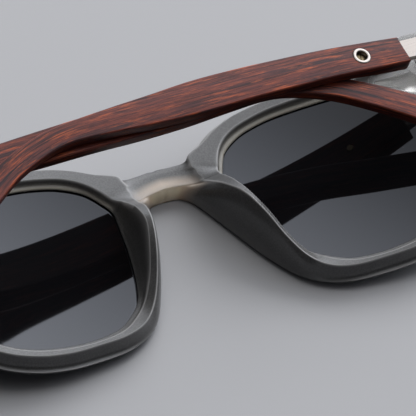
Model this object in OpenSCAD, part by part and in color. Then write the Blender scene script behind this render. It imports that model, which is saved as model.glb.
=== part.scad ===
// Wooden sunglasses, folded and lying lens-down, in millimetres.
// +X runs along the front to the wearer's right, +Y is the glasses' up, +Z points to the wearer.
// z = 0 is the front of the bridge, which is the face the folded pair lies on.

/* [Front] */
// Radius that the front is curved to, seen from above
front_curve = 280; // [200:5:400]
// Thickness of the front at the bridge and rims
front_thick = 4.6; // [3.5:0.1:6]
// Height of the nose pads, as a share of the ones in the picture
pad_share = 1; // [0.3:0.05:1.1]
// How far the back of the bridge is set in from the back of the rims
bridge_recess = 0.7; // [0:0.1:1.2]
// Depth of the groove that holds each lens
groove_depth = 0.85; // [0.5:0.05:1.2]
// How far each lens bulges forward of its rim
lens_bulge = 1.4; // [0.5:0.1:2.5]
// Thickness of each lens
lens_thick = 1.5; // [1.2:0.1:2.2]

/* [Hinge] */
// Distance of each hinge pin from the middle of the front
hinge_x = 63; // [58:0.5:70]
// Height of the middle of each hinge
hinge_y = 15.05; // [12:0.05:20]
// Distance of each hinge pin from the table
hinge_z = 16.5; // [12:0.1:18]
// Lean of the hinge pins against the plane of the front, in degrees
hinge_lean = 8.6; // [0:0.2:12]
// Radius of the hinge barrels
barrel_r = 1.5; // [1.2:0.1:2]
// Radius of the hinge screw
pin_r = 0.65; // [0.5:0.05:0.8]
// Clearance of the hinge screw in the barrels, on the radius
pin_fit = 0.05; // [0.02:0.01:0.1]
// Length of one barrel
barrel_len = 1.08; // [0.9:0.02:1.1]
// Gap between two barrels
barrel_gap = 0.06; // [0.04:0.01:0.1]

/* [Temples] */
// Offset of the wood's outer face from the hinge pin
temple_offset = 4.6; // [4:0.1:6]
// Outward lean of the temple where it leaves the hinge, as a slope
temple_lean = 0.056; // [0:0.002:0.1]
// Curve of the temple back inward, per millimetre squared
temple_bow = 0.000446; // [0:0.00001:0.001]
// Angle of the upper folded temple above square, in degrees
right_tilt = 1.2; // [0:0.05:3]
// Angle of the lower folded temple below square, in degrees
left_tilt = -1.2; // [-3:0.05:0]
// Thickness of the metal core
core_thick = 1.4; // [1.2:0.1:1.6]
// Height of the metal core
core_high = 4.2; // [3:0.1:5]
// How far the metal core reaches along the temple
core_reach = 25.3; // [20:1:28]
// Distance of the ring and its screw from the hinge pin
ring_s = 18.8; // [12:0.5:24]
// Outer radius of the ring
ring_r = 2; // [1.5:0.1:2.5]
// Inner radius of the ring
ring_bore = 1.15; // [0.9:0.05:1.5]

/* [Hidden] */
$fn = 40;
// Clearance of parts that are set into one another
fit = 0.06;
// Steps between two stations of the front, of its bridge and of a temple
front_steps = 2;
bridge_steps = 4;
temple_steps = 2;
// Back of the hinge leaf below the pin
leaf_back = barrel_r + 0.1;
// Lean and offset of the metal core
core_slope = 0.048;
core_lean = atan(core_slope);
core_w = 3.13;
barrel_pitch = barrel_len + barrel_gap;

// Stations round the right half of the front, from the top of the bridge over the lens and back under it:
// outer edge x and y, lens opening x and y, end piece share, then the two edges of the back face,
// which are the lens-side edge's distance from the opening and its rise above the rim,
// the outer edge's distance from the outline and its rise, and last the bridge share
front_stations = [
  [0, 16.2, 13.3, 10.3, 0, 1.25, 0, 7.2, 0, 1],
  [3.95, 16.2, 13.95, 11.5, 0, 1.2, 0, 4.25, 0, 1],
  [7.5, 16.5, 14.8, 13, 0, 1.25, 0, 0.8, 0, 0.4],
  [11.2, 18.6, 16.3, 14.9, 0, 1.35, 0, 1.05, 0, 0],
  [15.4, 21.6, 19.05, 16.75, 0, 1.65, 0, 1.5, 0, 0],
  [20.6, 23.8, 22.55, 18.2, 0, 1.5, 0, 1.75, 0, 0],
  [27.05, 24.7, 28.05, 19.2, 0, 1.45, 0, 1.75, 0, 0],
  [34.05, 24.8, 34, 19.3, 0, 1.45, 0, 1.75, 0, 0],
  [42, 24.6, 41, 18.8, 0, 1.45, 0, 1.75, 0, 0],
  [50, 23.9, 47.4, 17.7, 0.15, 1.45, 0, 1.75, 0, 0],
  [58, 23, 52.3, 15.9, 0.85, 1.4, 0, 1.4, 0, 0],
  [65.4, 22, 55.2, 13.5, 1, 1.35, 0, 0.9, 0, 0],
  [67.6, 19.5, 56.4, 11.7, 1, 1.35, 0, 0.9, 0, 0],
  [67.7, 15.3, 57.3, 9.9, 1, 1.35, 0, 0.9, 0, 0],
  [66.6, 12.6, 58, 8.1, 1, 1.35, 0, 1.2, 0, 0],
  [64.2, 10.1, 58.5, 5.7, 0.4, 1.35, 0, 1.6, 0, 0],
  [63.6, 3, 58.8, 1.1, 0, 1.3, 0, 1.5, 0, 0],
  [62.5, -5.4, 58.2, -5.5, 0, 1.25, 0, 1.4, 0, 0],
  [59.5, -14.5, 55.6, -13.1, 0, 1.2, 0, 1.4, 0, 0],
  [53.6, -20.7, 50.2, -17.8, 0, 1.2, 0, 1.4, 0, 0],
  [46.5, -23.8, 44.6, -20.1, 0, 1.2, 0, 1.4, 0, 0],
  [39, -24.82, 38.3, -21, 0, 1.2, 0, 1.4, 0, 0],
  [31.2, -24.4, 31.8, -20.9, 0, 1.2, 0, 1.4, 0, 0],
  [25, -23.5, 26.1, -19.7, 0, 1.25, 0, 1.2, 0.1, 0],
  [20.1, -21.5, 22.4, -17.4, 0, 1.3, 0.05, 1.1, 0.4, 0],
  [16.4, -18.4, 19.3, -14.4, 0, 1.4, 0.3, 1.5, 1.35, 0],
  [13.45, -13.7, 17.1, -10.2, 0, 1.95, 2.55, 1.55, 3.5, 0],
  [10.9, -8, 15.5, -5.5, 0, 2.25, 5.2, 1.6, 6.1, 0],
  [8.7, -2, 14.3, -1, 0, 2.65, 6.4, 1.75, 6.8, 0],
  [6.65, 3.5, 13.5, 3.1, 0, 2.45, 5.1, 2.2, 4.7, 0],
  [4.9, 7.45, 13, 5.95, 0, 2, 3.2, 3.45, 2, 0.25],
  [2.75, 9.4, 12.75, 7.5, 0, 1.7, 2, 5.4, 0.65, 0.9],
  [0, 9.9, 12.72, 8.5, 0, 1.45, 1.5, 8.1, 0.3, 1],
  [0, 13.2, 12.88, 9.3, 0, 1.3, 0.6, 8.2, 0, 1]
];

// Stations along a temple: distance from the hinge pin, height over the middle of the hinge, face height, thickness
temple_stations = [
  [9.26, -0.35, 5.5, 2.8],
  [9.76, -0.3, 6.2, 3.2],
  [15.26, 0.05, 6.5, 3],
  [26.26, 0.7, 6.8, 2.44],
  [36.26, 0.9, 7.2, 2.36],
  [46.26, 1.05, 7.5, 2.35],
  [56.26, 0.95, 7.7, 2.35],
  [66.08, 0.75, 6.9, 2.35],
  [75.72, 0.85, 5.7, 2.35],
  [85.36, 0.75, 4.55, 2.35],
  [92.108, -0.4, 4.6, 2.35],
  [100, -3.4, 4.8, 2.4],
  [107.5, -7.8, 5.3, 2.4],
  [115, -12.95, 5.8, 2.4],
  [122, -19, 6.1, 2.4],
  [126.9, -23.8, 5.9, 2.3],
  [128.6, -25.4, 4.6, 2],
  [129.4, -26.15, 2.4, 1.5]
];

// Which node is drawn

// Smooth curve through four values, at t between the middle two
function between(a, b, c, d, t) =
  0.5 * (2 * b + (c - a) * t + (2 * a - 5 * b + 4 * c - d) * t * t
    + (3 * b - a - 3 * c + d) * t * t * t);

function mix(a, b, t) = a * (1 - t) + b * t;

// Steps from station i of the front to the next one, finer round the bridge and the tops of the pads
function steps_at(i) = i >= 27 || i < 3 ? bridge_steps : front_steps;

// Stations of a closed list with steps filled in
function closed_path(list) =
  let (n = len(list))
  [for (i = [0 : n - 1]) for (k = [0 : steps_at(i) - 1])
    between(list[(i + n - 1) % n], list[i], list[(i + 1) % n], list[(i + 2) % n], k / steps_at(i))];

// Stations of an open list with steps filled in
function open_path(list, steps) =
  let (n = len(list))
  [for (i = [0 : n - 2]) for (k = [0 : (i == n - 2 ? steps : steps - 1)])
    between(list[max(i - 1, 0)], list[i], list[i + 1], list[min(i + 2, n - 1)], k / steps)];

// How far the front is curved back at x
function wrap(x) = x * x / (2 * front_curve);

front_path = closed_path(front_stations);
front_n = len(front_path);
// First station at the foot of the bridge, where the outline meets the middle plane
bridge_first = front_n - 2 * bridge_steps;
profile_n = 18;
// First and last profile points on the outer wall
wall_first = 12;
wall_last = 17;

// True for the stations that lie on the middle plane
function on_middle(i) = i >= bridge_first || i == 0;

// Profile of the rim at one station: distance out from the lens opening, height above the front face
function rim_profile(w, s) =
  let (
    lip = min(0.45, 0.2 * w),
    inner = s[5], inner_top = front_thick + pad_share * s[6],
    edge = w - s[7], top = front_thick + pad_share * max(0, s[8]),
    high = top - 1.2)
  [
    [min(0.9, 0.3 * w), 0],
    [0, 0.9],
    [0, 1.1],
    [groove_depth, 1.35],
    [groove_depth, 2.65],
    [0, 2.9],
    [0, 3.1],
    [lip, 3.4],
    [mix(lip, inner, 0.55), mix(3.4, inner_top, 0.4)],
    [inner, inner_top],
    [edge, top],
    [mix(edge, w, 0.15), top - 0.05 * high],
    [mix(edge, w, 0.45), top - 0.16 * high],
    [mix(edge, w, 0.8), top - 0.42 * high],
    [w, top - 0.78 * high],
    [w, 1.2],
    [w - 0.35, 0.35],
    [w - 1.1, 0]
  ];

// Edge of the bridge: distance in from the outline, height above the front face
bridge_edge = [[0.95, front_thick - bridge_recess], [0.5, front_thick - bridge_recess - 0.45],
  [0.15, 2.4], [0, 1.2], [0.1, 0.35], [0.3, 0]];

// Direction into the material from the outline at station i
function inward(i) =
  let (a = front_path[(i + front_n - 1) % front_n], b = front_path[(i + 1) % front_n],
    t = [max(0, b[0]) - max(0, a[0]), b[1] - a[1]])
  [t[1], -t[0]] / max(norm(t), 0.001);

// Point j of the profile at station i, with its height above the curved front face
function rim_point(i, j) =
  let (
    s = front_path[i],
    e = [max(0, s[0]), s[1]], o = [s[2], s[3]],
    w = norm(e - o),
    p = rim_profile(w, s)[j],
    bridge = min(1, max(0, s[9])),
    q = bridge_edge[max(0, j - wall_first)],
    low = front_path[bridge_first][1], high = front_path[0][1],
    middle_y = low + q[0] + (e[1] - low) * (1 - 2 * q[0] / (high - low)),
    plain = o + (e - o) * p[0] / w,
    xy = j < wall_first ? plain : on_middle(i) ? [0, middle_y]
      : mix(plain, e + inward(i) * q[0], bridge),
    z = j < wall_first ? p[1] : mix(p[1], q[1], bridge))
  [xy[0], xy[1], z];

// Back of the end piece at height y, where the hinge leaf lies flush
function end_back(y) = hinge_z - leaf_back / cos(hinge_lean) + (y - hinge_y) * tan(hinge_lean);

// Height of a rim point with the front's curve and the end piece
function lifted(p, end) =
  let (base = wrap(p[0]))
  [p[0], p[1], base + (p[2] > 3.5 ? mix(p[2], p[2] + end_back(p[1]) - base - front_thick, end) : p[2])];

// The point beside the outer edge of the back face sags towards the bridge
function front_point(i, j) =
  let (
    s = front_path[i],
    bridge = min(1, max(0, s[9])),
    near = rim_point(i, wall_first - 2), far = rim_point(i, wall_first),
    sag = [mix(near[0], far[0], 0.3), mix(near[1], far[1], 0.3), mix(near[2], far[2], 0.92)],
    p = j == wall_first - 1 ? mix(rim_point(i, j), sag, bridge) : rim_point(i, j))
  lifted(p, min(1, max(0, s[4])));

front_half = [for (i = [0 : front_n - 1]) for (j = [0 : profile_n - 1]) front_point(i, j)];

// Quads of the loft as triangles, less the wall on the middle plane
function front_faces(flip) =
  [for (i = [0 : front_n - 1]) for (j = [0 : profile_n - 1])
    let (i2 = (i + 1) % front_n, j2 = (j + 1) % profile_n,
      a = i * profile_n + j, b = i2 * profile_n + j,
      c = i2 * profile_n + j2, d = i * profile_n + j2,
      gone = on_middle(i) && on_middle(i2) && j >= wall_first && j < wall_last)
    if (!gone) for (t = flip ? [[a, b, c], [a, c, d]] : [[a, c, b], [a, d, c]]) t];

module front_body() {
  shift = len(front_half);
  polyhedron(
    points = concat(front_half, [for (p = front_half) [-p[0], p[1], p[2]]]),
    faces = concat(front_faces(false), [for (f = front_faces(true)) [f[0] + shift, f[1] + shift, f[2] + shift]]));
}

// The hinge leaf: its ends either side of the pin, its height and its two studs
leaf_in = 3.6;
leaf_out = 1.7;
leaf_high = 5 * barrel_len + 4 * barrel_gap + 0.06;
leaf_thick = 1.1;
stud_r = 0.8;
stud_long = 1;
stud_apart = 3;
stud_x = stud_r + 0.3 - leaf_in;

// Puts what is drawn round the hinge pin at its place on the right end piece
module at_hinge() {
  translate([hinge_x, hinge_y, hinge_z]) rotate([hinge_lean, 0, 0]) children();
}

// The leaf and its studs, grown by a clearance and left open at the back by the given height
module leaf(grow, open) {
  translate([-leaf_in - grow, -leaf_high / 2 - grow, -leaf_back - leaf_thick - grow])
    cube([leaf_in + leaf_out + 2 * grow, leaf_high + 2 * grow, leaf_thick + grow + open]);
  for (side = [-1, 1])
    translate([stud_x, side * stud_apart / 2, -leaf_back - leaf_thick - stud_long - grow])
      cylinder(r = stud_r + grow, h = stud_long + grow + 0.5);
}

// Room in the end piece for the hinge leaf
module hinge_pocket() { at_hinge() leaf(fit, 2); }

module front_frame() {
  color([0.55, 0.55, 0.56])
    difference() {
      front_body();
      hinge_pocket();
      mirror([1, 0, 0]) hinge_pocket();
    }
}

// Middle of the right lens
lens_mid = [36, -0.9];

// One ring of lens points: share of the opening, extra reach into the groove, height above the front face
function lens_ring(share, reach, high) =
  [for (i = [0 : front_n - 1])
    let (s = front_path[i], w = norm([s[0] - s[2], s[1] - s[3]]),
      x = mix(lens_mid[0], s[2], share) + (s[0] - s[2]) * reach / w,
      y = mix(lens_mid[1], s[3], share) + (s[1] - s[3]) * reach / w)
    [x, y, wrap(x) + high - lens_bulge * (1 - share * share)]];

lens_front = 2 - lens_thick / 2;
lens_back = 2 + lens_thick / 2;
lens_shares = [0.2, 0.4, 0.6, 0.8, 1];

module lens() {
  rings = concat(
    [for (k = [0 : 4]) lens_ring(lens_shares[k], 0, lens_front)],
    [lens_ring(1, 0.7, lens_front + 0.2), lens_ring(1, 0.7, lens_back - 0.2)],
    [for (k = [4 : -1 : 0]) lens_ring(lens_shares[k], 0, lens_back)]);
  m = len(rings);
  points = concat([for (r = rings) for (p = r) p],
    [for (h = [lens_front, lens_back]) [lens_mid[0], lens_mid[1], wrap(lens_mid[0]) + h - lens_bulge]]);
  sides = [for (k = [0 : m - 2]) for (i = [0 : front_n - 1])
    let (i2 = (i + 1) % front_n, a = k * front_n + i, b = k * front_n + i2,
      c = (k + 1) * front_n + i2, d = (k + 1) * front_n + i)
    for (t = [[a, b, c], [a, c, d]]) t];
  caps = [for (i = [0 : front_n - 1]) let (i2 = (i + 1) % front_n)
    for (t = [[m * front_n, i2, i], [m * front_n + 1, (m - 1) * front_n + i, (m - 1) * front_n + i2]]) t];
  polyhedron(points = points, faces = concat(sides, caps));
}

module right_lens() { color([0.12, 0.12, 0.13]) lens(); }
module left_lens() { color([0.12, 0.12, 0.13]) mirror([1, 0, 0]) lens(); }

// A barrel along Y whose middle is at y from the hinge's middle
module barrel(y) {
  translate([0, y - barrel_len / 2, 0]) rotate([-90, 0, 0]) cylinder(r = barrel_r, h = barrel_len);
}

module pin_bore() {
  translate([0, -5, 0]) rotate([-90, 0, 0]) cylinder(r = pin_r + pin_fit, h = 10);
}

// Leaf set into the end piece, with three barrels and two studs
module front_hinge() {
  color([0.75, 0.73, 0.7])
    union() {
      difference() {
        for (k = [-2, 0, 2]) {
          barrel(k * barrel_pitch);
          translate([-1.15, k * barrel_pitch - barrel_len / 2, -leaf_back - 0.3])
            cube([2.3, barrel_len, leaf_back + 0.3]);
        }
        pin_bore();
      }
      leaf(0, 0);
    }
}

module right_front_hinge() { at_hinge() front_hinge(); }
module left_front_hinge() { mirror([1, 0, 0]) at_hinge() front_hinge(); }

module hinge_screw() {
  reach = 2.5 * barrel_pitch - barrel_gap / 2;
  color([0.7, 0.69, 0.67])
    rotate([-90, 0, 0])
      difference() {
        union() {
          translate([0, 0, -reach]) cylinder(r = pin_r, h = 2 * reach + 0.1);
          translate([0, 0, reach + 0.02]) cylinder(r = 1.2, h = 0.6);
        }
        translate([-2, -0.17, reach + 0.37]) cube([4, 0.34, 1]);
      }
}

module right_hinge_screw() { at_hinge() hinge_screw(); }
module left_hinge_screw() { mirror([1, 0, 0]) at_hinge() hinge_screw(); }

// Puts a temple drawn from its hinge pin, running to -X with its outer face up, at its folded place
module folded(tilt) {
  at_hinge() rotate([0, tilt, 0]) children();
}

// Frame of the metal core inside a temple: -X along the core, Z through its thickness
module along_core() {
  translate([0, 0, core_w]) rotate([0, core_lean, 0]) children();
}

ring_y = 0.4;
// Radius of the temple screw's head and the height of its underside above the middle of the core
head_r = 1.1;
head_low = core_thick / 2 - 0.44;

module temple_core() {
  color([0.82, 0.8, 0.77])
    difference() {
      union() {
        along_core() translate([-core_reach, -core_high / 2, -core_thick / 2]) cube([core_reach + 1.1, core_high, core_thick]);
        for (k = [-1, 1]) {
          barrel(k * barrel_pitch);
          translate([-1.5, k * barrel_pitch - barrel_len / 2, 0]) cube([2.6, barrel_len, core_w - 0.2]);
        }
      }
      pin_bore();
      along_core() translate([-ring_s, ring_y, -2]) cylinder(r = 0.68, h = 4);
      along_core() translate([-ring_s, ring_y, head_low - 0.03]) cylinder(r = head_r + 0.05, h = 2);
    }
}

module right_temple_core() { folded(right_tilt) temple_core(); }
module left_temple_core() { mirror([1, 0, 0]) folded(left_tilt) temple_core(); }

temple_path = open_path(temple_stations, temple_steps);
temple_n = len(temple_path);
section_n = 12;

// Offset of the wood's outer face from the hinge pin, at distance s
function outer_face(s) = temple_offset + temple_lean * s - temple_bow * s * s;

// One point of a rounded cross-section: across the face, then down from the outer face
function section_point(k, high, thick) =
  let (r = min(0.55, thick * 0.3), q = floor(k / 3), t = (k % 3) * 45,
    cx = (q == 0 || q == 3 ? 1 : -1) * (high / 2 - r),
    cz = (q < 2 ? -r : -thick + r),
    ang = q * 90 + t)
  [cx + r * cos(ang), cz + r * sin(ang)];

function temple_point(i, k) =
  let (s = temple_path[i],
    prev = temple_path[max(i - 1, 0)], next = temple_path[min(i + 1, temple_n - 1)],
    raw = [next[0] - prev[0], next[1] - prev[1]],
    way = i == 0 ? [1, 0] : raw / norm(raw),
    p = section_point(k, s[2], s[3]))
  [-(s[0] - way[1] * p[0]), s[1] + way[0] * p[0], outer_face(s[0]) + p[1]];

module temple_wood() {
  points = [for (i = [0 : temple_n - 1]) for (k = [0 : section_n - 1]) temple_point(i, k)];
  sides = [for (i = [0 : temple_n - 2]) for (k = [0 : section_n - 1])
    let (k2 = (k + 1) % section_n, a = i * section_n + k, b = i * section_n + k2,
      c = (i + 1) * section_n + k2, d = (i + 1) * section_n + k)
    for (t = [[a, b, c], [a, c, d]]) t];
  last = (temple_n - 1) * section_n;
  caps = [[for (k = [section_n - 1 : -1 : 0]) k], [for (k = [0 : section_n - 1]) last + k]];
  polyhedron(points = points, faces = concat(sides, caps));
}

module temple() {
  color([0.36, 0.2, 0.16])
    difference() {
      temple_wood();
      along_core() translate([-core_reach - fit, -core_high / 2 - fit, -core_thick / 2 - fit])
        cube([core_reach + 5, core_high + 2 * fit, core_thick + 2 * fit]);
      along_core() translate([-ring_s, ring_y, 0]) cylinder(r = ring_r + fit, h = 4);
      along_core() translate([-ring_s, ring_y, -4]) cylinder(r = 0.7, h = 5);
    }
}

module right_temple() { folded(right_tilt) temple(); }
module left_temple() { mirror([1, 0, 0]) folded(left_tilt) temple(); }

// Top of the ring above the middle of the core
ring_top = outer_face(ring_s) - core_w - core_slope * ring_s + 0.08;

module ring() {
  color([0.84, 0.82, 0.79])
    along_core() translate([-ring_s, ring_y, core_thick / 2 + 0.02])
      difference() {
        cylinder(r = ring_r, h = ring_top - core_thick / 2 - 0.02);
        translate([0, 0, -1]) cylinder(r = ring_bore, h = 4);
      }
}

module right_ring() { folded(right_tilt) ring(); }
module left_ring() { mirror([1, 0, 0]) folded(left_tilt) ring(); }

module temple_screw() {
  color([0.4, 0.36, 0.3])
    along_core() translate([-ring_s, ring_y, 0])
      difference() {
        union() {
          translate([0, 0, head_low]) cylinder(r = head_r, h = 0.42);
          translate([0, 0, -1.5]) cylinder(r = 0.63, h = 1.5 + head_low + 0.1);
        }
        translate([-2, -0.16, head_low + 0.2]) cube([4, 0.32, 1]);
      }
}

module right_temple_screw() { folded(right_tilt) temple_screw(); }
module left_temple_screw() { mirror([1, 0, 0]) folded(left_tilt) temple_screw(); }

front_frame();
left_lens();
right_lens();
left_front_hinge();
right_front_hinge();
left_hinge_screw();
right_hinge_screw();
left_temple_core();
right_temple_core();
left_temple();
right_temple();
left_ring();
right_ring();
left_temple_screw();
right_temple_screw();
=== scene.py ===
# Looks of the folded wooden sunglasses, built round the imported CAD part
import math

import bmesh
import bpy
from mathutils import Matrix, Vector


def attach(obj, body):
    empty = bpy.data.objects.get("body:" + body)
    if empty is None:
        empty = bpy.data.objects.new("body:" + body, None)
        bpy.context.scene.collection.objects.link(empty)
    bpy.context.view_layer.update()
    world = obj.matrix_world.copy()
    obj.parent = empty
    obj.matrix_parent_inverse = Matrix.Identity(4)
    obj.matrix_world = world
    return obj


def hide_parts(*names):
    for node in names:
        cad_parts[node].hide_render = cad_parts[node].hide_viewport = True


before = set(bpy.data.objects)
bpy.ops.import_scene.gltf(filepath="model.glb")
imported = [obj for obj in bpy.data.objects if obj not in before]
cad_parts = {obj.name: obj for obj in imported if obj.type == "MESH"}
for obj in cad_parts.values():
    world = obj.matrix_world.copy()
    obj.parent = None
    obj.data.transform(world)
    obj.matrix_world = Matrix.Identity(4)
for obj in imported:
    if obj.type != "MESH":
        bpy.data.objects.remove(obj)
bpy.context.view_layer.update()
MM = 0.001
scene = bpy.context.scene

# Sizes of the part, in millimetres, as in its source
FRONT_CURVE = 280.0
FRONT_THICK = 4.6
BRIDGE_RECESS = 1.0
GROOVE_DEPTH = 0.85
LENS_BULGE = 1.4
LENS_THICK = 1.5
LENS_LEVEL = 2
LENS_LIFT = 0.2
LENS_REACH = 0.7
LENS_CHAMFER = 0.2
LENS_MID = (36.0, -0.9)
LENS_CURVES = (0.0036, 0.0066)
LENS_PITCH = -0.02
HINGE = (63.0, 15.05, 16.5)
HINGE_LEAN = math.radians(8.6)
LEAF_BACK = 1.6
LEAF_POCKET = ((-3.66, -2.91, -LEAF_BACK - 1.16), (1.76, 2.91, 1.5))
TEMPLE_OFFSET = 4.6
TEMPLE_LEAN = 0.056
TEMPLE_BOW = 0.000446
TILT = {"right": 1.2, "left": -1.2}
CORE_SLOPE = 0.048
CORE_W = 3.13
CORE_HIGH = 4.2
CORE_THICK = 1.4
CORE_REACH = 25.3
CORE_FIT = 0.06
RING_S = 18.8
RING_Y = 0.4
RING_R = 1.92
RING_BORE = 1.15
RING_FIT = 0.04
RING_PROUD = 0.08
SCREW_HOLE_R = 0.68
WOOD_SINK = 0.035
WOOD_ROUND = 0.34

# Stations round the right half of the front: outline x and y, lens opening x and y, end piece share,
# lens-side edge of the back face and its rise, outer edge of the back face and its rise, bridge share
FRONT = [
    (0, 16.2, 13.3, 10.3, 0, 1.25, 0, 8.0, 0, 1),
    (3.95, 16.2, 13.95, 11.5, 0, 1.2, 0, 4.0, 0, 1),
    (7.5, 16.5, 14.8, 13, 0, 1.25, 0, 0.7, 0, 0.6),
    (11.2, 18.6, 16.3, 14.9, 0, 1.35, 0, 1.05, 0, 0),
    (15.4, 21.6, 19.05, 16.75, 0, 1.65, 0, 1.5, 0, 0),
    (20.6, 23.8, 22.55, 18.2, 0, 1.5, 0, 1.75, 0, 0),
    (27.05, 24.7, 28.05, 19.2, 0, 1.45, 0, 1.75, 0, 0),
    (34.05, 24.8, 34, 19.3, 0, 1.45, 0, 1.75, 0, 0),
    (42, 24.6, 41, 18.8, 0, 1.45, 0, 1.75, 0, 0),
    (50, 23.9, 47.4, 17.7, 0.15, 1.45, 0, 1.75, 0, 0),
    (58, 23, 52.3, 15.9, 0.85, 1.4, 0, 1.4, 0, 0),
    (65.4, 22, 55.2, 13.5, 1, 1.35, 0, 0.9, 0, 0),
    (67.6, 19.5, 56.4, 11.7, 1, 1.35, 0, 0.9, 0, 0),
    (67.7, 15.3, 57.3, 9.9, 1, 1.35, 0, 0.9, 0, 0),
    (66.6, 12.6, 58, 8.1, 1, 1.35, 0, 1.2, 0, 0),
    (64.2, 10.1, 58.5, 5.7, 0.4, 1.35, 0, 1.6, 0, 0),
    (63.6, 3, 58.8, 1.1, 0, 1.3, 0, 1.5, 0, 0),
    (62.5, -5.4, 58.2, -5.5, 0, 1.25, 0, 1.4, 0, 0),
    (59.5, -14.5, 55.6, -13.1, 0, 1.2, 0, 1.4, 0, 0),
    (53.6, -20.7, 50.2, -17.8, 0, 1.2, 0, 1.4, 0, 0),
    (46.5, -23.8, 44.6, -20.1, 0, 1.2, 0, 1.4, 0, 0),
    (39, -24.82, 38.3, -21, 0, 1.2, 0, 1.4, 0, 0),
    (31.2, -24.4, 31.8, -20.9, 0, 1.2, 0, 1.4, 0, 0),
    (25, -23.5, 26.1, -19.7, 0, 1.25, 0, 1.2, 0.1, 0),
    (20.1, -21.5, 22.4, -17.4, 0, 1.3, 0.05, 1.1, 0.4, 0),
    (16.4, -18.4, 19.3, -14.4, 0, 1.4, 0.3, 1.5, 1.35, 0),
    (13.45, -13.7, 17.1, -10.2, 0, 1.95, 2.55, 1.55, 3.5, 0),
    (10.9, -8, 15.5, -5.5, 0, 2.25, 5.2, 1.6, 6.1, 0),
    (8.7, -2, 14.3, -1, 0, 2.65, 6.4, 1.75, 6.8, 0),
    (6.65, 3.5, 13.5, 3.1, 0, 2.45, 5.1, 2.2, 4.7, 0),
    (4.9, 7.45, 13, 5.95, 0, 2, 3.2, 3.45, 2, 0.25),
    (2.75, 9.4, 12.75, 7.5, 0, 1.7, 2, 5.1, 0.65, 0.9),
    (0, 9.9, 12.72, 8.5, 0, 1.45, 1.5, 7.7, 0.3, 1),
    (0, 13.2, 12.88, 9.3, 0, 1.3, 0.6, 7.9, 0, 1),
]

# Stations along a temple: distance from the hinge pin, height over the middle of the hinge,
# height of the face, thickness
TEMPLE = [
    (8.95, -0.3, 6, 3.05),
    (9.1, -0.3, 6.2, 3.2),
    (9.65, -0.27, 6.23, 3.18),
    (11.2, -0.17, 6.3, 3.13),
    (15.26, 0.05, 6.5, 3),
    (26.26, 0.7, 6.8, 2.44),
    (36.26, 0.9, 7.2, 2.36),
    (46.26, 1.05, 7.5, 2.35),
    (56.26, 0.95, 7.7, 2.35),
    (66.08, 0.75, 6.9, 2.35),
    (75.72, 0.85, 5.7, 2.35),
    (85.36, 0.75, 4.55, 2.35),
    (92.108, -0.4, 4.6, 2.35),
    (100, -3.4, 4.8, 2.4),
    (107.5, -7.8, 5.3, 2.4),
    (115, -12.95, 5.8, 2.4),
    (122, -19, 6.1, 2.4),
    (126.9, -23.8, 5.9, 2.3),
    (128.6, -25.4, 4.6, 2),
    (129.4, -26.15, 2.4, 1.5),
]


def mix(a, b, t):
    return a * (1 - t) + b * t


def clamp(v):
    return min(1.0, max(0.0, v))


def between(a, b, c, d, t):
    """Smooth curve through four values, at t between the middle two."""
    return 0.5 * (2 * b + (c - a) * t + (2 * a - 5 * b + 4 * c - d) * t * t
                  + (3 * b - a - 3 * c + d) * t ** 3)


def closed_path(rows, steps):
    n = len(rows)
    out = []
    for i in range(n):
        four = [rows[(i + k) % n] for k in (-1, 0, 1, 2)]
        for k in range(steps):
            out.append([between(*v, k / steps) for v in zip(*four)])
    return out


def open_path(rows, steps):
    n = len(rows)
    out = []
    for i in range(n - 1):
        four = [rows[max(i - 1, 0)], rows[i], rows[i + 1], rows[min(i + 2, n - 1)]]
        for k in range(steps + (1 if i == n - 2 else 0)):
            out.append([between(*v, k / steps) for v in zip(*four)])
    return out


def wrap(x):
    return x * x / (2 * FRONT_CURVE)


def lens_rise(x, y):
    """How far the smooth lens surface stands over its seat at a point of the right lens."""
    dx, dy = x - LENS_MID[0], y - LENS_MID[1]
    bowl = dx * dx * LENS_CURVES[0] / 2 + dy * dy * LENS_CURVES[1] / 2
    return bowl + LENS_PITCH * dy - LENS_BULGE + LENS_LIFT


def mesh_object(name, verts, faces, merge=0.0, creases=None, marks=None):
    """A smooth-shaded object from millimetre points, with faces turned outward.

    Creases gives shares to edges, for the rounding, and marks gives shares to points, for the materials.
    """
    bm = bmesh.new()
    marks = marks or {}
    for key in marks:
        bm.verts.layers.float.new(key)
    layers = {key: bm.verts.layers.float[key] for key in marks}
    made = [bm.verts.new(Vector(v) * MM) for v in verts]
    for key, layer in layers.items():
        for v, value in zip(made, marks[key]):
            v[layer] = value
    for f in faces:
        bm.faces.new([made[k] for k in f])
    if creases:
        layer = bm.edges.layers.float.new("crease_edge")
        for (a, b), share in creases.items():
            edge = bm.edges.get((made[a], made[b]))
            if edge:
                edge[layer] = share
    if merge:
        bmesh.ops.remove_doubles(bm, verts=bm.verts, dist=merge * MM)
    bmesh.ops.recalc_face_normals(bm, faces=bm.faces)
    for f in bm.faces:
        f.smooth = True
    mesh = bpy.data.meshes.new(name)
    bm.to_mesh(mesh)
    bm.free()
    obj = bpy.data.objects.new(name, mesh)
    scene.collection.objects.link(obj)
    return obj


# The front: a loft round each lens opening, closed over the bridge
STEPS = 6
PATH = closed_path(FRONT, STEPS)
COUNT = len(PATH)
BRIDGE_FIRST = COUNT - 2 * STEPS
WALL = 16
PROFILE = 22
EDGE_BREAK = 0.16
END_FROM = 3.5
BRIDGE_SAG = (0.14, 0.14, 0.8)
BRIDGE_EDGE = [(0.95, FRONT_THICK - BRIDGE_RECESS), (0.5, FRONT_THICK - BRIDGE_RECESS - 0.45),
               (0.15, 2.4), (0, 1.2), (0.1, 0.35), (0.3, 0)]


def on_middle(i):
    return i >= BRIDGE_FIRST or i == 0


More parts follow.
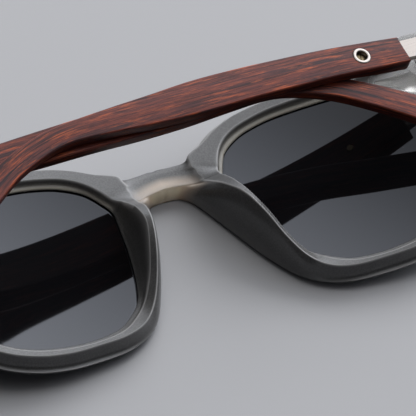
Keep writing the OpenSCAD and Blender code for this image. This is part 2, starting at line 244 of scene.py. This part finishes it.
def rim_profile(w, s):
    """Outline of the rim at one station, from the lens over the back face to the outer wall."""
    lip = min(0.3, 0.2 * w)
    inner, inner_top = s[5], FRONT_THICK + s[6]
    edge, top = w - s[7], FRONT_THICK + max(0, s[8])
    high = top - 1.2
    rise = max(-0.45, min(0.45, lens_rise(s[2], s[3])))
    pad = clamp(s[6] / 1.6)
    flare = clamp(1 - s[4]) * clamp(1 - s[8] / 1.2)
    ledge = (0.8 * inner, 3.5 + rise)
    wall = [mix(a, b, flare) for a, b in ((0.15, 0.04), (0.45, 0.12), (0.8, 0.25), (1, 0.55))]
    drop = [mix(a, b, flare) for a, b in ((0.05, 0.22), (0.16, 0.55), (0.42, 0.82), (0.78, 0.95))]
    points = [
        (min(0.9, 0.3 * w), 0), (0, 0.5), (0, 1.1 + rise),
        (GROOVE_DEPTH, 1.35 + rise), (GROOVE_DEPTH, 2.65 + rise),
        (0, 2.9 + rise), (0.02, 3.1 + rise), (lip, 3.35 + rise),
        (mix(ledge[0], mix(lip, inner, 0.55), pad), mix(ledge[1], mix(3.4, inner_top, 0.4), pad)),
        (inner, inner_top), (edge, top),
        *[(mix(edge, w, wall[k]), top - drop[k] * high) for k in range(4)],
        (w, mix(1.0, 1.25, flare)), (w - 0.3, 0.3), (w - 1.0, 0),
    ]
    out = [q for k in range(len(points)) for q in broken(points, k, k in (9, 10))]
    return out[:11] + [mix(out[10], out[11], t) for t in (0.12, 0.88)] + out[11:]


def broken(points, k, edge):
    """One point of an outline, or two beside it where the edge is broken."""
    here = Vector(points[k])
    if not edge:
        return [here]
    sides = [Vector(points[k + d]) for d in (-1, 1)]
    return [mix(here, p, min(EDGE_BREAK / max((p - here).length, 0.01), 0.25)) for p in sides]


def inward(i):
    a, b = PATH[i - 1], PATH[(i + 1) % COUNT]
    t = Vector((max(0, b[0]) - max(0, a[0]), b[1] - a[1]))
    return Vector((t[1], -t[0])) / max(t.length, 0.001)


def rim_point(i, j):
    s = PATH[i]
    e, o = Vector((max(0, s[0]), s[1])), Vector((s[2], s[3]))
    w = (e - o).length
    p = rim_profile(w, s)[j]
    plain = o + (e - o) * p[0] / w
    if j < WALL:
        return Vector((plain[0], plain[1], p[1]))
    bridge = clamp(s[9])
    q = BRIDGE_EDGE[j - WALL]
    low, high = PATH[BRIDGE_FIRST][1], PATH[0][1]
    middle_y = low + q[0] + (e[1] - low) * (1 - 2 * q[0] / (high - low))
    xy = Vector((0, middle_y)) if on_middle(i) else mix(plain, e + inward(i) * q[0], bridge)
    return Vector((max(0, xy[0]), xy[1], mix(p[1], q[1], bridge)))


def end_back(y):
    """Back of the end piece at height y, where the hinge leaf lies flush."""
    return HINGE[2] - LEAF_BACK / math.cos(HINGE_LEAN) + (y - HINGE[1]) * math.tan(HINGE_LEAN)


def front_point(i, j):
    s = PATH[i]
    p = rim_point(i, j)
    if j == WALL - 1:
        near, far = rim_point(i, WALL - 2), rim_point(i, WALL)
        sag = Vector([mix(a, b, t) for a, b, t in zip(near, far, BRIDGE_SAG)])
        p = mix(p, sag, clamp(s[9]))
    base = wrap(p[0])
    z = p[2]
    if z > END_FROM:
        z = mix(z, z + end_back(p[1]) - base - FRONT_THICK, clamp(s[4]))
    return (p[0], p[1], base + z)


# How much each profile point belongs to the lip that holds the lens, which gets painted light, a pale cream
# where the ledge catches the light, fading towards the bottom of the opening and on the pads
LIP_LIGHT = {6: 0.5, 7: 0.9, 8: 0.2}
# Profile points on edges that get a painted highlight, a thin pale line along the edge
EDGE_HIGHLIGHTS = {9: 1.0, 10: 1.0, 13: 1.0, 14: 1.0, 18: 0.6, 19: 1.0}
# Profile points on edges that stay crisp when the shell is rounded
CREASES = {6: 0.5, 7: 0.3, 8: 0.4, 9: 1, 10: 1, 13: 1, 14: 1, 18: 0.3, 19: 0.7}
# First and last station of the light that comes through the bridge
THROUGH_LIGHT_ROWS = (29.8, 33.4)


def lip_light_share(i, j):
    s = PATH[i]
    return LIP_LIGHT.get(j, 0) * clamp((s[3] + 6) / 8) * clamp(1 - s[6] / 1.6)


def edge_highlight_share(i, j):
    return EDGE_HIGHLIGHTS.get(j, 0.0)


def through_light_share(i, j):
    """The lower edge of the bridge, where light comes through the plastic: painted as a pale warm glow,
    with real subsurface light on it.
    """
    row = i / STEPS
    first, last = THROUGH_LIGHT_ROWS
    low = clamp((row - first) / 1.2) * clamp((last - row) / 0.8)
    return low * {15: 0.4, 16: 0.85}.get(j, float(j > 16))


def clear_share(i, j):
    """The end pieces, where the plastic is clear."""
    return max(clamp(PATH[i][4]), 0.2 * through_light_share(i, j))


def build_front():
    half = [front_point(i, j) for i in range(COUNT) for j in range(PROFILE)]
    faces = []
    for i in range(COUNT):
        for j in range(PROFILE):
            i2, j2 = (i + 1) % COUNT, (j + 1) % PROFILE
            if on_middle(i) and on_middle(i2) and WALL <= j < PROFILE - 1:
                continue
            faces.append((i * PROFILE + j, i2 * PROFILE + j, i2 * PROFILE + j2, i * PROFILE + j2))
    other = [(-x, y, z) for x, y, z in half]
    n = len(half)
    shares = {"lip": lip_light_share, "edge": edge_highlight_share, "clear": clear_share, "through_light": through_light_share}
    marks = {key: [share(i, j) for i in range(COUNT) for j in range(PROFILE)] * 2
             for key, share in shares.items()}
    creases = {}
    for i in range(COUNT):
        for j, share in CREASES.items():
            a, b = i * PROFILE + j, (i + 1) % COUNT * PROFILE + j
            creases[a, b] = creases[a + n, b + n] = share
    faces += [[k + n for k in f[::-1]] for f in faces]
    obj = mesh_object("front_shell", half + other, faces, 0.002, creases, marks)
    soft = obj.modifiers.new("rounding", "SUBSURF")
    soft.levels = soft.render_levels = 1
    return obj


# The lenses: a bulged plate inside each opening
def build_lens(name, side):
    front_z, back_z = LENS_LEVEL - LENS_THICK / 2, LENS_LEVEL + LENS_THICK / 2
    shares = [0.05 * k for k in range(1, 20)] + [0.98, 1]

    def ring(share, reach, high):
        out = []
        for s in PATH:
            w = math.hypot(s[0] - s[2], s[1] - s[3])
            x = mix(LENS_MID[0], s[2], share) + (s[0] - s[2]) * reach / w
            y = mix(LENS_MID[1], s[3], share) + (s[1] - s[3]) * reach / w
            out.append((side * x, y, wrap(x) + high + lens_rise(x, y)))
        return out

    rings = [ring(k, 0, front_z) for k in shares]
    rings += [ring(1, LENS_REACH, z) for z in (front_z + LENS_CHAMFER, back_z - LENS_CHAMFER)]
    rings += [ring(k, 0, back_z) for k in reversed(shares)]
    verts = [p for r in rings for p in r]
    faces = []
    for k in range(len(rings) - 1):
        for i in range(COUNT):
            i2 = (i + 1) % COUNT
            faces.append((k * COUNT + i, k * COUNT + i2, (k + 1) * COUNT + i2, (k + 1) * COUNT + i))
    middle = wrap(LENS_MID[0]) + lens_rise(*LENS_MID)
    verts += [(side * LENS_MID[0], LENS_MID[1], middle + h) for h in (front_z, back_z)]
    last = (len(rings) - 1) * COUNT
    for i in range(COUNT):
        i2 = (i + 1) % COUNT
        faces.append((len(verts) - 2, i2, i))
        faces.append((len(verts) - 1, last + i, last + i2))
    return mesh_object(name, verts, faces)


lenses = []
for side, name in ((1, "right"), (-1, "left")):
    lens = build_lens(name + "_tinted_lens", side)
    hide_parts(name + "_lens")
    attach(lens, "front")
    lenses.append(lens)


# The temples, drawn from the hinge pin to -X with the outer face up, then folded
MIRROR = Matrix.Scale(-1, 4, (1, 0, 0))


def at_hinge():
    return Matrix.Translation(Vector(HINGE) * MM) @ Matrix.Rotation(HINGE_LEAN, 4, "X")


def folded(side):
    turn = at_hinge() @ Matrix.Rotation(math.radians(TILT[side]), 4, "Y")
    return turn if side == "right" else MIRROR @ turn


def along_core():
    lean = math.atan(CORE_SLOPE)
    return Matrix.Translation((0, 0, CORE_W * MM)) @ Matrix.Rotation(lean, 4, "Y")


def at_ring():
    return along_core() @ Matrix.Translation((-RING_S * MM, RING_Y * MM, 0))


def outer_face(s):
    return TEMPLE_OFFSET + TEMPLE_LEAN * s - TEMPLE_BOW * s * s


RING_TOP = outer_face(RING_S) - CORE_W - CORE_SLOPE * RING_S + RING_PROUD
TEMPLE_PATH = open_path(TEMPLE, 8)


def section(high, thick, per_corner=6):
    """Rounded cross-section: points across the face and down from the outer face."""
    r = min(WOOD_ROUND, thick * 0.3)
    out = []
    for q in range(4):
        cx = (1 if q in (0, 3) else -1) * (high / 2 - r)
        cz = -r if q < 2 else -thick + r
        for k in range(per_corner):
            a = math.radians(q * 90 + k * 90 / (per_corner - 1))
            out.append((cx + r * math.cos(a), cz + r * math.sin(a)))
    return out


def place(obj, matrix):
    """Moves the mesh's points to their place in the part and keeps faces turned outward."""
    obj.data.transform(matrix)
    if matrix.determinant() < 0:
        obj.data.flip_normals()
    return obj


def build_temple(side):
    n = len(TEMPLE_PATH)
    verts = []
    for i, s in enumerate(TEMPLE_PATH):
        a, b = TEMPLE_PATH[max(i - 1, 0)], TEMPLE_PATH[min(i + 1, n - 1)]
        way = Vector((1, 0)) if i == 0 else Vector((b[0] - a[0], b[1] - a[1])).normalized()
        for p in section(s[2], s[3]):
            height = outer_face(s[0]) + p[1] - WOOD_SINK
            verts.append((-(s[0] - way[1] * p[0]), s[1] + way[0] * p[0], height))
    k = len(verts) // n
    faces = []
    for i in range(n - 1):
        for j in range(k):
            j2 = (j + 1) % k
            faces.append((i * k + j, i * k + j2, (i + 1) * k + j2, (i + 1) * k + j))
    faces.append(tuple(range(k - 1, -1, -1)))
    faces.append(tuple((n - 1) * k + j for j in range(k)))
    return mesh_object(side + "_wood_temple", verts, faces)


def lay_grain(obj):
    """Stores each point's place along the temple, across its face and in its depth, in millimetres."""
    path = [Vector(s[:2]) for s in TEMPLE_PATH]
    n = len(path)
    ways = [(path[min(i + 1, n - 1)] - path[max(i - 1, 0)]).normalized() for i in range(n)]
    ways[0] = Vector((1, 0))
    runs = [0.0]
    for a, b in zip(path, path[1:]):
        runs.append(runs[-1] + (b - a).length)
    grain = []
    for v in obj.data.vertices:
        here = Vector((-v.co.x, v.co.y)) / MM
        ahead = [(here - p).dot(w) for p, w in zip(path, ways)]
        near = [i for i in range(n - 1) if ahead[i] >= -1e-4 > ahead[i + 1] - 1e-4]
        i = min(near, key=lambda k: (here - path[k]).length) if near else (0 if ahead[0] < 0 else n - 2)
        t = ahead[i] / max(1e-6, ahead[i] - ahead[i + 1])
        across = [ways[k].x * (here - path[k]).y - ways[k].y * (here - path[k]).x for k in (i, i + 1)]
        depth = v.co.z / MM - outer_face(here.x)
        grain += [mix(runs[i], runs[i + 1], t), mix(across[0], across[1], t), depth]
    layer = obj.data.attributes.new("grain", "FLOAT_VECTOR", "POINT")
    layer.data.foreach_set("vector", grain)


def cutter(name, matrix, shape):
    """A tool to cut with: a rod of radius, low and high end, or a box of two corners."""
    bm = bmesh.new()
    if shape[0] == "rod":
        bmesh.ops.create_cone(bm, cap_ends=True, segments=64, radius1=shape[1] * MM, radius2=shape[1] * MM,
                              depth=(shape[3] - shape[2]) * MM,
                              matrix=Matrix.Translation((0, 0, (shape[2] + shape[3]) / 2 * MM)))
    else:
        low, high = Vector(shape[1]) * MM, Vector(shape[2]) * MM
        bmesh.ops.create_cube(bm, size=1, matrix=Matrix.Translation((low + high) / 2)
                              @ Matrix.Diagonal((*(high - low), 1)))
    mesh = bpy.data.meshes.new(name)
    bm.to_mesh(mesh)
    bm.free()
    mesh.transform(matrix)
    obj = bpy.data.objects.new(name, mesh)
    scene.collection.objects.link(obj)
    return obj


def cut(obj, tools, sharp=32):
    """Cuts the tools out of obj and removes them; edges over the sharp angle, in degrees, stay sharp."""
    for t in tools:
        mod = obj.modifiers.new("cut", "BOOLEAN")
        mod.operation = "DIFFERENCE"
        mod.solver = "EXACT"
        mod.object = t
    bpy.context.view_layer.update()
    done = bpy.data.meshes.new_from_object(obj.evaluated_get(bpy.context.evaluated_depsgraph_get()))
    obj.modifiers.clear()
    done.set_sharp_from_angle(angle=math.radians(sharp))
    obj.data = done
    for t in tools:
        bpy.data.objects.remove(t, do_unlink=True)
    return obj


def spin(name, outline, segments=72):
    """A turned piece from (radius, height) points, round Z."""
    verts, faces = [], []
    n = len(outline)
    for k in range(segments):
        a = 2 * math.pi * k / segments
        verts += [(r * math.cos(a), r * math.sin(a), z) for r, z in outline]
    for k in range(segments):
        for j in range(n):
            faces.append((k * n + j, ((k + 1) % segments) * n + j, ((k + 1) % segments) * n + (j + 1) % n,
                          k * n + (j + 1) % n))
    return mesh_object(name, verts, faces, 0.0005)


def build_ring(side):
    """The ring, with a rounded crown and a chamfered bore."""
    low, top = CORE_THICK / 2 + 0.02, RING_TOP
    chamfer = [(0, 0.2), (0.03, 0.1), (0.1, 0.03), (0.18, 0)]
    crown = [(0.3, 0), (0.16, 0.02), (0.06, 0.09), (0, 0.2)]
    outline = [(RING_BORE, low)] + [(RING_BORE + r, top - h) for r, h in chamfer]
    outline += [(RING_R - r, top - h) for r, h in crown] + [(RING_R, low)]
    return place(spin(side + "_polished_ring", outline), folded(side) @ at_ring())


def build_screw(side):
    """The slotted screw under the ring, with its end on the inner face of the wood."""
    low = CORE_THICK / 2 - 0.44
    head = [(0.02, 0.42), (0.85, 0.42), (1.03, 0.37), (1.1, 0.28), (1.1, 0), (0.63, 0)]
    shank = [(0.63, -1.4), (0.5, -1.5), (0.02, -1.5)]
    outline = [(r, low + h) for r, h in head] + shank
    screw = spin(side + "_slotted_screw", outline, 48)
    slot_tool = cutter("slot", Matrix.Rotation(math.radians(65), 4, "Z"),
                       ("box", (-2, -0.16, low + 0.2), (2, 0.16, low + 1)))
    return place(cut(screw, [slot_tool]), folded(side) @ at_ring())


front_shell = build_front()
pockets = [cutter("pocket", half @ at_hinge(), ("box", *LEAF_POCKET)) for half in (Matrix(), MIRROR)]
cut(front_shell, pockets, sharp=78)
normals = front_shell.modifiers.new("flat_faces", "WEIGHTED_NORMAL")
normals.keep_sharp = True
normals.weight = 85
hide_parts("front_frame")
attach(front_shell, "front")

woods, rings, screws = [], [], []
for side in ("right", "left"):
    arm = side + "_arm"
    wood = build_temple(side)
    tools = [cutter("ring_hole", at_ring(), ("rod", RING_R + RING_FIT, 0, 4)),
             cutter("screw_hole", at_ring(), ("rod", SCREW_HOLE_R, -4, 1))]
    slot_y, slot_z = CORE_HIGH / 2 + CORE_FIT, CORE_THICK / 2 + CORE_FIT
    slot_box = ("box", (-CORE_REACH - CORE_FIT, -slot_y, -slot_z), (5, slot_y, slot_z))
    tools.append(cutter("core_slot", along_core(), slot_box))
    lay_grain(cut(wood, tools))
    place(wood, folded(side))
    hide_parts(side + "_temple")
    ring = build_ring(side)
    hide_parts(side + "_ring")
    screw = build_screw(side)
    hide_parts(side + "_temple_screw")
    for obj, slot in ((wood, "wood"), (ring, "ring_metal"), (screw, "screw_metal")):
        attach(obj, arm)
    woods.append(wood)
    rings.append(ring)
    screws.append(screw)


# Materials
def material(name):
    mat = bpy.data.materials.new(name)
    mat.use_nodes = True
    return mat, mat.node_tree, mat.node_tree.nodes["Principled BSDF"]


def node(tree, kind, **values):
    n = tree.nodes.new(kind)
    for k, v in values.items():
        if k in n.inputs:
            n.inputs[k].default_value = v
        else:
            setattr(n, k, v)
    return n


def ramp(tree, source, stops):
    n = tree.nodes.new("ShaderNodeValToRGB")
    while len(n.color_ramp.elements) < len(stops):
        n.color_ramp.elements.new(0.5)
    for e, (at, colour) in zip(n.color_ramp.elements, stops):
        e.position = at
        e.color = (*colour, 1)
    tree.links.new(source, n.inputs["Fac"])
    return n.outputs["Color"]


def linear(r, g, b):
    """A screen colour, 0 to 255, in Blender's linear values."""
    shares = (r / 255, g / 255, b / 255)
    return tuple(c / 12.92 if c <= 0.04045 else ((c + 0.055) / 1.055) ** 2.4 for c in shares)


def blend_colours(tree, share, a, b, kind="MIX"):
    n = tree.nodes.new("ShaderNodeMix")
    n.data_type = "RGBA"
    n.blend_type = kind
    for key, v in ((0, share), (6, a), (7, b)):
        if isinstance(v, bpy.types.NodeSocket):
            tree.links.new(v, n.inputs[key])
        else:
            n.inputs[key].default_value = v if key == 0 else (*v, 1)
    return n.outputs[2]


def stretched(tree, source, scale):
    n = node(tree, "ShaderNodeMapping", Scale=scale)
    tree.links.new(source, n.inputs["Vector"])
    return n.outputs["Vector"]


def noise(tree, vector, scale, detail=4.0, rough=0.55):
    n = node(tree, "ShaderNodeTexNoise", Scale=scale, Detail=detail, Roughness=rough)
    tree.links.new(vector, n.inputs["Vector"])
    return n.outputs["Fac"]


def bump(tree, shader, height, strength, distance):
    n = node(tree, "ShaderNodeBump", Strength=strength, Distance=distance)
    tree.links.new(height, n.inputs["Height"])
    tree.links.new(n.outputs["Normal"], shader.inputs["Normal"])


def wood_material():
    """Oiled rosewood: long bands, flame patches, fibres and short dark pores along the temple."""
    mat, tree, shader = material("rosewood")
    grain = node(tree, "ShaderNodeAttribute", attribute_name="grain").outputs["Vector"]
    sway = node(tree, "ShaderNodeTexNoise", Scale=1.0, Detail=2.0)
    tree.links.new(stretched(tree, grain, (0.03, 0.12, 0.12)), sway.inputs["Vector"])
    bent = node(tree, "ShaderNodeVectorMath", operation="MULTIPLY_ADD")
    tree.links.new(sway.outputs["Color"], bent.inputs[0])
    bent.inputs[1].default_value = (0, 1.4, 1.4)
    tree.links.new(grain, bent.inputs[2])
    grain = bent.outputs["Vector"]
    bands = noise(tree, stretched(tree, grain, (0.018, 0.8, 0.8)), 1.0, 5.0, 0.6)
    flame = noise(tree, stretched(tree, grain, (0.15, 1.7, 1.7)), 1.0, 6.0, 0.7)
    fibre = noise(tree, stretched(tree, grain, (0.09, 4.6, 4.6)), 1.0, 4.0, 0.65)
    pores = noise(tree, stretched(tree, grain, (0.35, 7.5, 7.5)), 1.0, 2.0, 0.5)
    body = ramp(tree, bands, [(0.36, linear(42, 24, 26)), (0.44, linear(90, 43, 37)),
                              (0.52, linear(124, 57, 41)), (0.6, linear(97, 50, 46)),
                              (0.68, linear(54, 34, 38))])
    glow = ramp(tree, flame, [(0.52, (0, 0, 0)), (0.7, (0.9, 0.9, 0.9))])
    body = blend_colours(tree, glow, body, linear(208, 102, 48))
    lines = ramp(tree, fibre, [(0.36, linear(96, 76, 80)), (0.47, linear(220, 208, 206)),
                               (0.6, linear(255, 250, 246))])
    body = blend_colours(tree, 0.9, body, lines, "MULTIPLY")
    dots = ramp(tree, pores, [(0.3, linear(70, 56, 58)), (0.4, (1, 1, 1))])
    body = blend_colours(tree, 0.75, body, dots, "MULTIPLY")
    tree.links.new(body, shader.inputs["Base Color"])
    rough = node(tree, "ShaderNodeMapRange", **{"To Min": 0.3, "To Max": 0.46})
    tree.links.new(fibre, rough.inputs["Value"])
    tree.links.new(rough.outputs["Result"], shader.inputs["Roughness"])
    shader.inputs["Specular IOR Level"].default_value = 0.32
    shader.inputs["Coat Weight"].default_value = 0.12
    shader.inputs["Coat Roughness"].default_value = 0.22
    bump(tree, shader, fibre, 0.3, 0.00008)
    return mat


def frosted_material():
    """Smoke-grey plastic with a fine matt skin, painted highlights on edges, painted light on the lens lip,
    clear at the ends, and a painted warm glow where light comes through the bridge.
    """
    mat, tree, shader = material("frosted_front")
    spot = node(tree, "ShaderNodeTexCoord").outputs["Object"]
    cloud = noise(tree, spot, 90, 3.0, 0.5)
    speck = noise(tree, spot, 3000, 2.0, 0.5)
    base = ramp(tree, cloud, [(0.3, linear(88, 87, 86)), (0.7, linear(103, 102, 101))])
    frost = ramp(tree, speck, [(0.36, linear(186, 186, 186)), (0.64, linear(255, 255, 255))])
    base = blend_colours(tree, 0.7, base, frost, "MULTIPLY")
    clear = node(tree, "ShaderNodeAttribute", attribute_name="clear").outputs["Fac"]
    lip = node(tree, "ShaderNodeAttribute", attribute_name="lip").outputs["Fac"]
    through_light = node(tree, "ShaderNodeAttribute", attribute_name="through_light").outputs["Fac"]
    edge = node(tree, "ShaderNodeMath", operation="POWER")
    tree.links.new(node(tree, "ShaderNodeAttribute", attribute_name="edge").outputs["Fac"], edge.inputs[0])
    edge.inputs[1].default_value = 3.0
    # Painted highlight: thin pale lines along the edges of the shell, from the edge mark
    base = blend_colours(tree, edge.outputs["Value"], base, linear(164, 163, 162))
    # Painted light: the lip round the lens is coloured a pale cream where it catches the light
    base = blend_colours(tree, lip, base, linear(176, 170, 156))
    base = blend_colours(tree, clear, base, linear(208, 207, 204))
    # Painted glow: a pale warm colour where light comes through the bridge's lower edge; the subsurface
    # light there is real
    base = blend_colours(tree, through_light, base, linear(252, 228, 204))
    tree.links.new(base, shader.inputs["Base Color"])
    skin = node(tree, "ShaderNodeMapRange", **{"To Min": 0.3, "To Max": 0.4})
    tree.links.new(speck, skin.inputs["Value"])
    for socket, zone, source, end in (("Roughness", clear, skin.outputs["Result"], 0.2),
                                      ("Transmission Weight", clear, 0.25, 0.85),
                                      ("Subsurface Weight", through_light, 0.04, 1.0)):
        way = node(tree, "ShaderNodeMix")
        tree.links.new(zone, way.inputs[0])
        if isinstance(source, bpy.types.NodeSocket):
            tree.links.new(source, way.inputs[2])
        else:
            way.inputs[2].default_value = source
        way.inputs[3].default_value = end
        tree.links.new(way.outputs[0], shader.inputs[socket])
    shader.inputs["IOR"].default_value = 1.49
    shader.inputs["Subsurface Radius"].default_value = (1.0, 0.97, 0.94)
    shader.inputs["Subsurface Scale"].default_value = 0.007
    shader.inputs["Coat Weight"].default_value = 0.3
    shader.inputs["Coat Roughness"].default_value = 0.16
    bump(tree, shader, speck, 0.16, 0.00004)
    return mat


def lens_material():
    """Dark polished lens, almost black but for what it mirrors."""
    mat, tree, shader = material("tinted_lens")
    spot = node(tree, "ShaderNodeTexCoord").outputs["Object"]
    tint = noise(tree, spot, 30, 2.0, 0.5)
    base = ramp(tree, tint, [(0.3, linear(11, 11, 13)), (0.7, linear(14, 14, 16))])
    tree.links.new(base, shader.inputs["Base Color"])
    smear = node(tree, "ShaderNodeMapRange", **{"To Min": 0.015, "To Max": 0.035})
    tree.links.new(noise(tree, spot, 160, 3.0, 0.6), smear.inputs["Value"])
    tree.links.new(smear.outputs["Result"], shader.inputs["Roughness"])
    shader.inputs["IOR"].default_value = 1.58
    shader.inputs["Specular Tint"].default_value = (0.92, 0.94, 1.0, 1.0)
    return mat


def metal_material(name, colour, roughness, brushed):
    mat, tree, shader = material(name)
    spot = node(tree, "ShaderNodeTexCoord").outputs["Object"]
    lines = noise(tree, stretched(tree, spot, brushed), 1.0, 3.0, 0.6)
    low = tuple(c * 0.9 for c in colour)
    tree.links.new(ramp(tree, lines, [(0.3, low), (0.7, colour)]), shader.inputs["Base Color"])
    shader.inputs["Metallic"].default_value = 1.0
    rough = node(tree, "ShaderNodeMapRange", **{"To Min": roughness * 0.8, "To Max": roughness * 1.25})
    tree.links.new(lines, rough.inputs["Value"])
    tree.links.new(rough.outputs["Result"], shader.inputs["Roughness"])
    bump(tree, shader, lines, 0.05, 0.00003)
    return mat


def paint(obj, mat):
    obj.data.materials.clear()
    obj.data.materials.append(mat)


wood_mat = wood_material()
front_mat = frosted_material()
lens_mat = lens_material()
strip_mat = metal_material("nickel_strip", linear(188, 179, 170), 0.28, (60, 4000, 4000))
ring_mat = metal_material("polished_ring", linear(208, 198, 188), 0.18, (900, 900, 900))
screw_mat = metal_material("dull_screw", linear(150, 134, 104), 0.34, (1500, 1500, 1500))
hinge_mat = metal_material("nickel_hinge", linear(205, 198, 190), 0.3, (700, 3000, 700))

paint(front_shell, front_mat)
for obj in lenses:
    paint(obj, lens_mat)
for obj in woods:
    paint(obj, wood_mat)
for obj in rings:
    paint(obj, ring_mat)
for obj in screws:
    paint(obj, screw_mat)


def repaint_cad(name, mat, width):
    """Gives a CAD node a better material and softly rounded edges."""
    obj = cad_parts[name]
    for k in range(len(obj.material_slots)):
        obj.material_slots[k].material = mat
    if not obj.material_slots:
        obj.data.materials.append(mat)
    edge = obj.modifiers.new("edges", "BEVEL")
    edge.width = width * MM
    edge.segments = 2
    edge.limit_method = "ANGLE"
    edge.angle_limit = math.radians(40)
    edge.use_clamp_overlap = True


for side in ("right", "left"):
    repaint_cad(side + "_temple_core", strip_mat, 0.12)
    repaint_cad(side + "_front_hinge", hinge_mat, 0.08)
    repaint_cad(side + "_hinge_screw", screw_mat, 0.06)


# Floor, light and camera: the floor shows a paler colour than the one that lights the object
FLOOR_SEEN = linear(178, 178, 180)
FLOOR_LIT = linear(70, 70, 72)
VIEW_DISTANCE = 800


def floor():
    bm = bmesh.new()
    bmesh.ops.create_grid(bm, x_segments=1, y_segments=1, size=4)
    mesh = bpy.data.meshes.new("floor")
    bm.to_mesh(mesh)
    bm.free()
    obj = bpy.data.objects.new("floor", mesh)
    scene.collection.objects.link(obj)
    mat, tree, shader = material("pale_floor")
    shader.inputs["Roughness"].default_value = 0.85
    shader.inputs["Specular IOR Level"].default_value = 0.1
    rays = node(tree, "ShaderNodeLightPath")
    seen = rays.outputs["Is Camera Ray"]
    for name in ("Is Glossy Ray", "Is Transmission Ray"):
        both = node(tree, "ShaderNodeMath", operation="MAXIMUM")
        tree.links.new(seen, both.inputs[0])
        tree.links.new(rays.outputs[name], both.inputs[1])
        seen = both.outputs["Value"]
    tree.links.new(blend_colours(tree, seen, FLOOR_LIT, FLOOR_SEEN), shader.inputs["Base Color"])
    paint(obj, mat)


floor()


def softbox(name, direction, distance, size, power):
    """A soft area lamp that faces the middle of the object."""
    lamp = bpy.data.lights.new(name, "AREA")
    lamp.shape = "RECTANGLE"
    lamp.size, lamp.size_y = size
    lamp.energy = power
    obj = bpy.data.objects.new(name, lamp)
    scene.collection.objects.link(obj)
    way = Vector(direction).normalized()
    obj.location = way * distance + Vector((0, 0, 0.01))
    obj.rotation_mode = "QUATERNION"
    obj.rotation_quaternion = way.to_track_quat("Z", "Y")
    return obj


key = softbox("key", (0.6, 0.62, 0.5), 1.4, (1.2, 1.0), 17)
top = softbox("top", (0.1, 0.3, 1.0), 1.5, (1.2, 1.2), 5)
for lamp in (key, top):
    lamp.visible_glossy = False


def soft_dome():
    """A dim dome with a broad bright side and a bright top, so that lenses and metal show no lamp edges."""
    world = bpy.data.worlds.new("studio")
    scene.world = world
    world.use_nodes = True
    tree = world.node_tree
    way = node(tree, "ShaderNodeTexCoord").outputs["Generated"]
    light = (0.03, 0.031, 0.034)
    for aim, low, power, colour in (((0.75, 0.5, 0.43), 0.45, 1.8, (2.3, 2.4, 2.6)),
                                    ((-0.1, 0.1, 0.99), 0.5, 7.0, (1.1, 1.1, 1.12))):
        dot = node(tree, "ShaderNodeVectorMath", operation="DOT_PRODUCT")
        tree.links.new(way, dot.inputs[0])
        dot.inputs[1].default_value = Vector(aim).normalized()
        share = node(tree, "ShaderNodeMapRange", **{"From Min": low, "From Max": 1.0})
        tree.links.new(dot.outputs["Value"], share.inputs["Value"])
        narrow = node(tree, "ShaderNodeMath", operation="POWER")
        tree.links.new(share.outputs["Result"], narrow.inputs[0])
        narrow.inputs[1].default_value = power
        light = blend_colours(tree, narrow.outputs["Value"], light, colour)
    tree.links.new(light, tree.nodes["Background"].inputs["Color"])


soft_dome()

# The camera's own axes, and the middle of the bridge that it is aimed beside
right = Vector((0.8702, -0.4682, 0.1546))
up = Vector((0.2594, 0.7019, 0.6639))
back = Vector((-0.419, -0.5374, 0.7319))
crease = Vector((0, 15.43, 4.6))
target = crease + right * 10.8 - up * 7.94
camera = bpy.data.objects.new("camera", bpy.data.cameras.new("camera"))
scene.collection.objects.link(camera)
camera.data.sensor_width = 36
camera.data.lens = 346.15
camera.data.clip_start, camera.data.clip_end = 0.02, 20
turn = Matrix((right, up, back)).transposed().to_4x4()
camera.matrix_world = Matrix.Translation((target + back * VIEW_DISTANCE) * MM) @ turn
scene.camera = camera

scene.view_settings.view_transform = "Standard"
